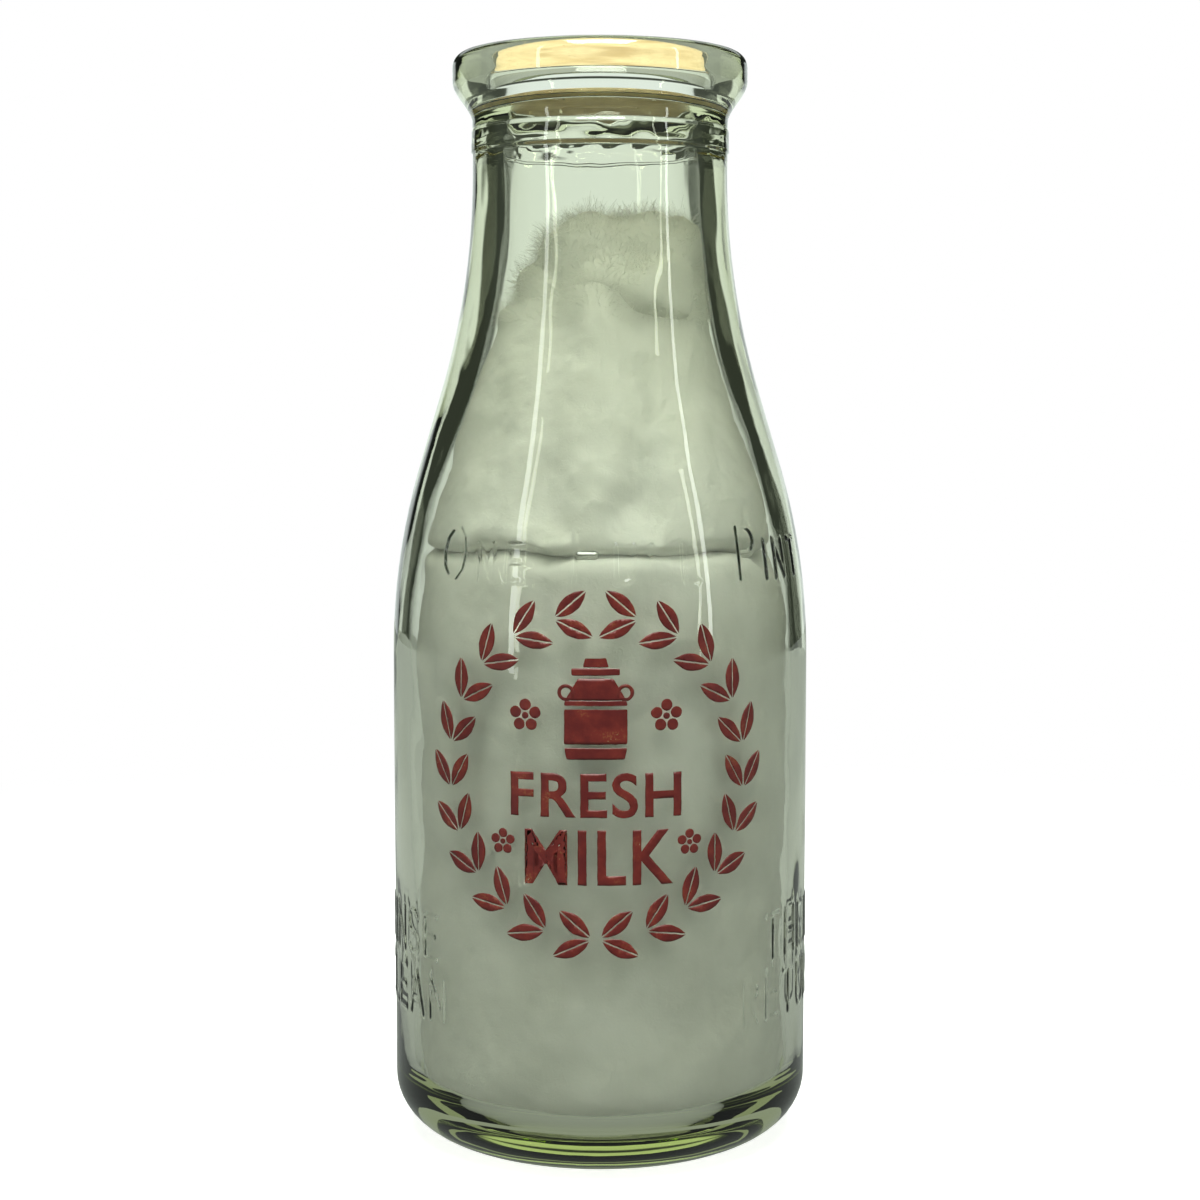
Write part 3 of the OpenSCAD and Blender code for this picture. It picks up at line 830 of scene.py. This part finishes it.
def puffed(rough, name, voxel, travel, levels):
    """Fuses rough lumps into one skin, lets pressure fill it out, and holds it inside the glass."""
    mesh = bpy.data.meshes.new(name)
    rough.to_mesh(mesh)
    rough.free()
    wad = bpy.data.objects.new(name, mesh)
    scene.collection.objects.link(wad)
    fused = wad.modifiers.new("fused", "REMESH")
    fused.mode = "VOXEL"
    fused.voxel_size = voxel
    baked(wad, fused)
    start = [v.co.copy() for v in wad.data.vertices]
    cloth = wad.modifiers.new("cloth", "CLOTH")
    cloth.settings.use_pressure = True
    cloth.settings.uniform_pressure_force = CLOTH_PRESSURE
    cloth.settings.effector_weights.gravity = 0
    cloth.settings.quality = 6
    cloth.point_cache.frame_start = 1
    cloth.point_cache.frame_end = CLOTH_FRAMES
    for frame_number in range(1, CLOTH_FRAMES + 1):
        scene.frame_set(frame_number)
    baked(wad, cloth)
    scene.frame_set(1)
    for v, before in zip(wad.data.vertices, start):
        moved = v.co - before
        if moved.length > travel:
            v.co = before + moved.normalized() * travel
        held_in(v.co)
    smooth_skin = wad.modifiers.new("smooth_skin", "SUBSURF")
    smooth_skin.levels = levels
    smooth_skin.render_levels = levels
    baked(wad, smooth_skin)
    bm = bmesh.new()
    bm.from_mesh(wad.data)
    bpy.data.objects.remove(wad)
    return bm


def wad_piece(bm, name, node):
    """Roughens a wad's skin and makes it the piece that stands for its CAD node."""
    bm.normal_update()
    for v in bm.verts:
        spot = v.co / TUFT_SIZE
        v.co += v.normal * (SKIN_ROUGH * noise.fractal(spot, 0.9, 2.1, 4))
        held_in(v.co, WALL_GAP - 0.1 * mm)
    bmesh.ops.recalc_face_normals(bm, faces=bm.faces)
    piece = finished(bm, name, cotton, "bottle", node)


# The two large wads start as turned plugs that fill the hollow, parted at a wavy
# seam. Folds sink into their skin, and one leaf-shaped fold stands out in front.
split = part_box("wadding_lower")[1].z
SEAM_WAVE = 3.2 * mm
CREASE_DEPTH = 1.9 * mm
LEAF_FOLD_Z, LEAF_FOLD_H = 116 * mm, 48 * mm
LEAF_FOLD_HALF = 8.5 * mm
LEAF_FOLD_X, LEAF_FOLD_SWAY = -2.4 * mm, 3 * mm
LEAF_FOLD_BACK = 2.6 * mm


def seam(co):
    """Height of the wavy seam between the two large wads."""
    return split + SEAM_WAVE * noise.noise(Vector((co.x, co.y, 40 * mm)) / (21 * mm))


def fold_depth(co):
    """How far the skin of a large wad lies behind the glass."""
    soft = noise.fractal(co / (30 * mm), 1.0, 2.0, 3)
    crease = 1 - abs(noise.noise(Vector((co.x, co.y, co.z * 0.6)) / (17 * mm) + Vector((3, 1, 5))))
    depth = (0.5 + 0.8 * soft) * mm + CREASE_DEPTH * smooth(crease, 0.84, 1.0)
    if co.y < 0 and co.z > split:
        rise = (co.z - LEAF_FOLD_Z) / LEAF_FOLD_H
        if 0 < rise < 1:
            width = LEAF_FOLD_HALF * math.sin(math.pi * rise ** 0.8)
            middle = LEAF_FOLD_X + LEAF_FOLD_SWAY * math.sin(math.pi * rise)
            near = 1 - smooth(abs(co.x - middle), width * 0.55, width + 0.8 * mm)
            beside = 1 - smooth(abs(co.x), 9 * mm, 17 * mm)
            depth = (depth + LEAF_FOLD_BACK * beside) * (1 - near) + 0.1 * mm * near
    return max(depth, 0) * smooth(abs(co.z - split), 0, 7 * mm)


PLUG_STEPS = 96
LONG_EDGE = 5 * mm


def plug(outline):
    """A turned wad with the folds sunk into its skin."""
    bm = spun(outline, PLUG_STEPS)
    long_edges = [e for e in bm.edges if e.calc_length() > LONG_EDGE]
    bmesh.ops.subdivide_edges(bm, edges=long_edges, cuts=2, use_grid_fill=True)
    for v in bm.verts:
        r = v.co.xy.length
        if r > 10 * mm:
            v.co.xy *= (r - fold_depth(v.co)) / r
    return bm


def walls(low, high, round_low, round_high):
    """Outline of a plug from z low to z high, with its two edges rounded."""
    def reach(z):
        return radius_at(bore_line, z) - WALL_GAP
    points = [(0, low)]
    foot, head = low + round_low, high - round_high
    points += oval((reach(foot) - round_low, foot), round_low, round_low, -90, 0, 5)
    count = int((high - low) / (3 * mm))
    zs = [low + (high - low) * k / count for k in range(1, count)]
    points += [(reach(z), z) for z in zs if low + round_low * 1.2 < z < high - round_high * 1.2]
    points += oval((reach(head) - round_high, head), round_high, round_high, 0, 90, 5)
    return points + [(0, high)]


SEAM_ROUND = 1.2 * mm
SEAM_REACH = 4 * mm
lower = plug(walls(floor_z + WALL_GAP, split, 7 * mm, SEAM_ROUND))
for v in lower.verts:
    if v.co.z > split - SEAM_REACH:
        v.co.z += seam(v.co) - split
wad_piece(puffed(lower, "lower_wad_start", 3.2 * mm, 2.5 * mm, 2), "lower_wad", "wadding_lower")

TILT = math.tan(math.radians(14))
upper_top = seat_z - 34 * mm
UPPER_GAP = 0.3 * mm
TOP_WAVE = 1.6 * mm
upper = plug(walls(split, upper_top + 6 * mm, SEAM_ROUND, 2 * mm))
for v in upper.verts:
    if v.co.z < split + SEAM_REACH:
        v.co.z += seam(v.co) - split + UPPER_GAP
    top = upper_top + TILT * v.co.x + TOP_WAVE * noise.noise(v.co / (9 * mm))
    if v.co.z > top:
        v.co.z = top
wad_piece(puffed(upper, "upper_wad_start", 2.6 * mm, 2 * mm, 2), "upper_wad", "wadding_upper")

# The tuft is several handfuls pulled apart and dropped in last; it leans against
# the right side of the neck.
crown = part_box("wadding_tuft")[1].z
LUMP_ROUGH, FINE_ROUGH = 1.5 * mm, 0.5 * mm
CROWN_FOLD = 0.3
tuft = bmesh.new()
for x, y, drop, size in (
    (4, 0, 12.5, 12.4), (-1, -5, 9.5, 9.2), (8.5, -5, 9.0, 8.6), (12, 4, 9.0, 8.0), (-3, 4, 9.5, 9.0),
    (6, 6, 8.0, 8.0), (-11, -1, 15, 5.0), (-9.5, -7, 15.5, 4.8), (12.5, -3, 14, 7.5), (2, -8.5, 14, 8.4),
    (13.5, -2, 7.6, 7.0), (9, -10, 15, 8.0), (0, -10, 17.5, 7.0),
):
    lump = bmesh.ops.create_icosphere(tuft, subdivisions=3, radius=size * mm)["verts"]
    bmesh.ops.translate(tuft, verts=lump, vec=(x * mm, y * mm, crown - drop * mm))
for v in tuft.verts:
    coarse = LUMP_ROUGH * noise.noise_vector(v.co / (7 * mm))
    v.co += coarse + FINE_ROUGH * noise.noise_vector(v.co / (2.2 * mm))
    if v.co.z > crown:
        v.co.z = crown - CROWN_FOLD * (v.co.z - crown)
    held_in(v.co)
wad_piece(puffed(tuft, "tuft_start", 1.0 * mm, 1.2 * mm, 1), "top_tuft", "wadding_tuft")

# Loose fibres stand off the wadding wherever the glass doesn't press it smooth.
pick = random.Random(11)
FIBRES = 7500
FIBRE_R = 0.035 * mm
FIBRE_SHORT, FIBRE_LONG = 1.2, 3.6
FIBRE_CURL = 0.35
FREE_GAP = 1.0 * mm
hair = bpy.data.curves.new("loose_fibres", "CURVE")
hair.dimensions = "3D"
hair.bevel_depth = FIBRE_R
hair.bevel_resolution = 0


def free_faces(piece):
    """Faces near the top of the wadding that stand clear of the glass."""
    for face in piece.data.polygons:
        gap = radius_at(bore_line, face.center.z) - face.center.xy.length
        if face.center.z > upper_top - 8 * mm and gap > FREE_GAP:
            yield face


roots = [face for name in ("upper_wad", "top_tuft") for face in free_faces(bpy.data.objects[name])]
weights = [face.area for face in roots]
for face in pick.choices(roots, weights=weights, k=FIBRES):
    away = (face.normal * 0.8 + Vector([pick.uniform(-1, 1) for _ in range(3)]) * 0.75).normalized()
    length = pick.uniform(FIBRE_SHORT, FIBRE_LONG) * mm
    bend = Vector([pick.uniform(-1, 1) for _ in range(3)]) * FIBRE_CURL * length
    strand = hair.splines.new("POLY")
    strand.points.add(3)
    root = Vector(face.center) - face.normal * 0.3 * mm
    for k, point in enumerate(strand.points):
        share = k / 3
        spot = root + away * length * share + bend * share * share
        held_in(spot, 0.3 * mm)
        point.co = (*spot, 1)
        point.radius = 1 - 0.5 * share
strands = bpy.data.objects.new("fibre_curves", hair)
scene.collection.objects.link(strands)
bpy.context.view_layer.update()
fibres = bmesh.new()
fibres.from_mesh(strands.evaluated_get(bpy.context.evaluated_depsgraph_get()).to_mesh())
bpy.data.objects.remove(strands)
finished(fibres, "loose_fibres", cotton, "bottle", None)
